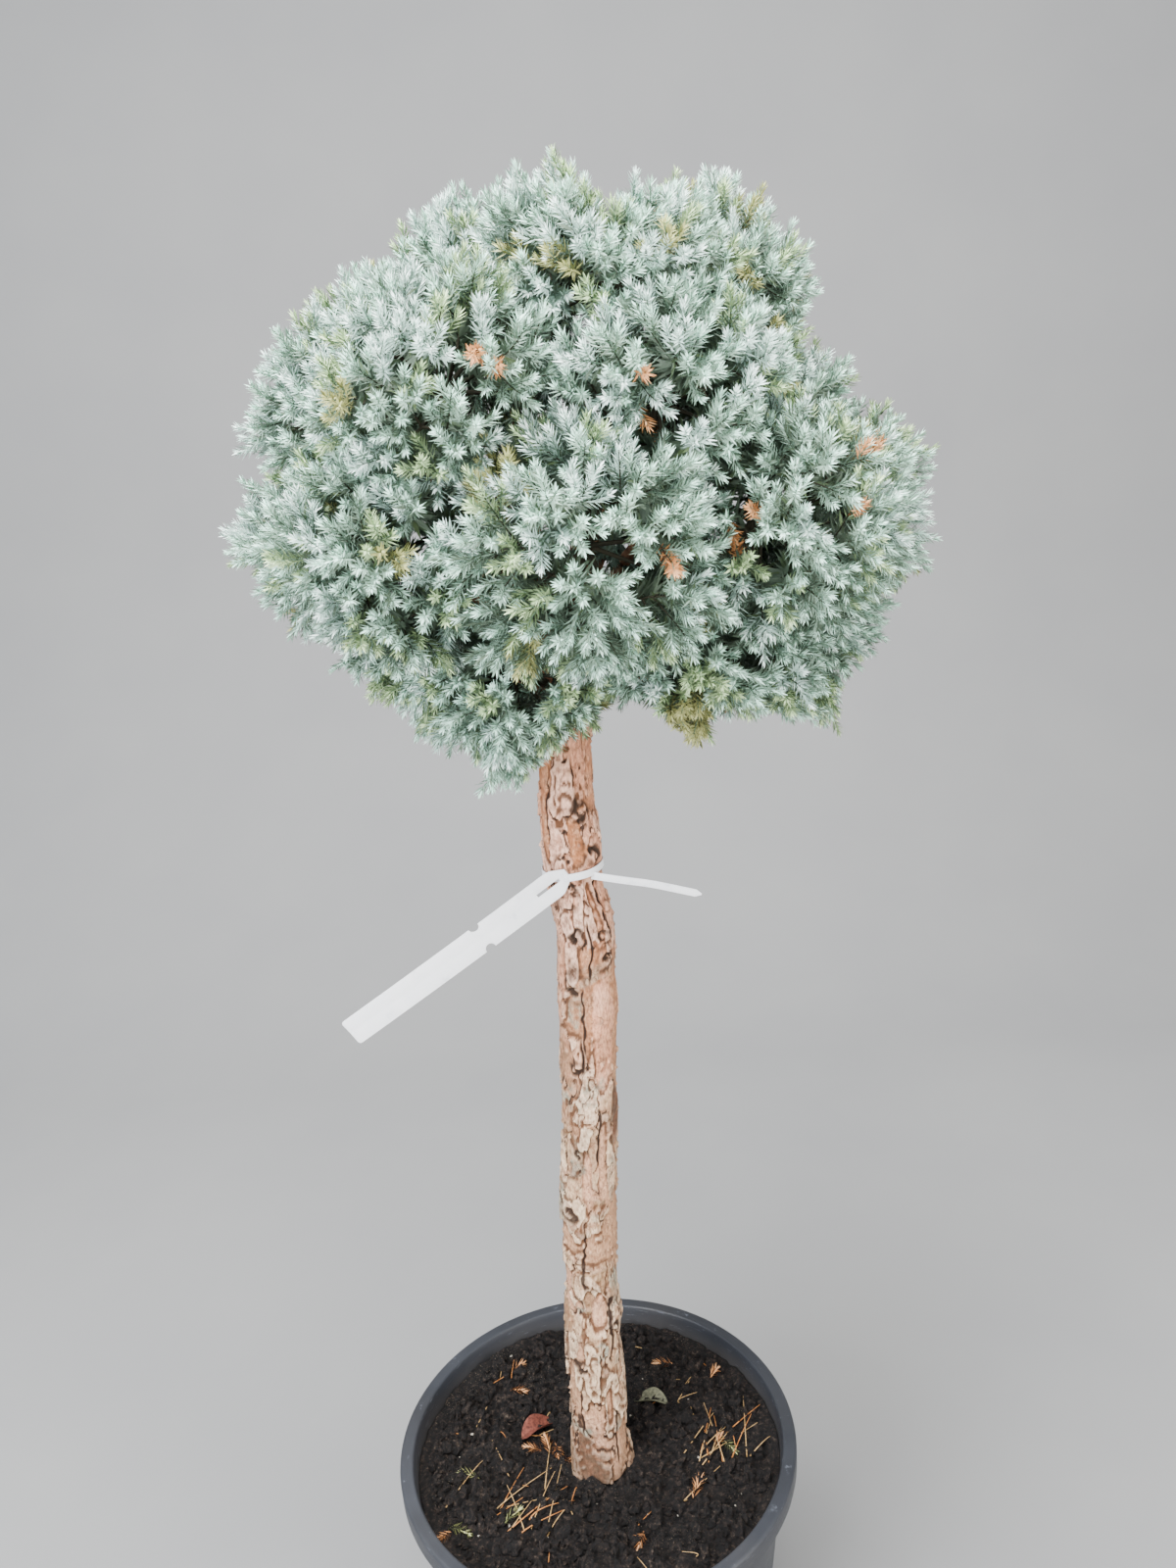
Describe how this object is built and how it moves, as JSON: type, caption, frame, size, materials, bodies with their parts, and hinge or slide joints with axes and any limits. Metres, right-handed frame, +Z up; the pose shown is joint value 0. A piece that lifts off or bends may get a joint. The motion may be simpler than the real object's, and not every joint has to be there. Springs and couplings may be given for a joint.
{
  "type": "potted blue juniper standard",
  "caption": "Blue needle-leaved juniper grown as a standard: round unclipped crown on a clear leaning stem in a plain nursery pot.",
  "frame": {"origin": "centre of the pot's flat underside", "axes": "+Z up, +X to the side where the crown leans, -Y towards the viewer"},
  "size_m": [0.6066, 0.5699, 1.5904],
  "materials": {
    "pot": "matt, lightly scuffed",
    "soil": "crumbly potting soil",
    "bark": "flaking bark",
    "young_bark": "thin young bark",
    "needles": "waxy blue-green needles",
    "tag": "smooth white, blank"
  },
  "bodies": {
    "root": {"pot": "pot", "soil": "soil", "trunk": "bark", "plant_tag": "tag", "bough_top_right": "young_bark", "bough_top_back": "young_bark", "bough_top_left": "young_bark", "bough_top_front": "young_bark", "bough_upper_right": "young_bark", "bough_upper_back_right": "young_bark", "bough_upper_back_left": "young_bark", "bough_upper_left": "young_bark", "bough_upper_front_left": "young_bark", "bough_upper_front_right": "young_bark", "bough_middle_right": "young_bark", "bough_middle_back_right": "young_bark", "bough_middle_back": "young_bark", "bough_middle_back_left": "young_bark", "bough_middle_left": "young_bark", "bough_middle_front_left": "young_bark", "bough_middle_front": "young_bark", "bough_middle_front_right": "young_bark", "bough_skirt_right": "young_bark", "bough_skirt_back_right": "young_bark", "bough_skirt_back_left": "young_bark", "bough_skirt_left": "young_bark", "bough_skirt_front_left": "young_bark", "bough_skirt_front_right": "young_bark", "foliage_top_right": "needles", "foliage_top_back": "needles", "foliage_top_left": "needles", "foliage_top_front": "needles", "foliage_upper_right": "needles", "foliage_upper_back_right": "needles", "foliage_upper_back_left": "needles", "foliage_upper_left": "needles", "foliage_upper_front_left": "needles", "foliage_upper_front_right": "needles", "foliage_middle_right": "needles", "foliage_middle_back_right": "needles", "foliage_middle_back": "needles", "foliage_middle_back_left": "needles", "foliage_middle_left": "needles", "foliage_middle_front_left": "needles", "foliage_middle_front": "needles", "foliage_middle_front_right": "needles", "foliage_skirt_right": "needles", "foliage_skirt_back_right": "needles", "foliage_skirt_back_left": "needles", "foliage_skirt_left": "needles", "foliage_skirt_front_left": "needles", "foliage_skirt_front_right": "needles"}
  },
  "joints": []
}
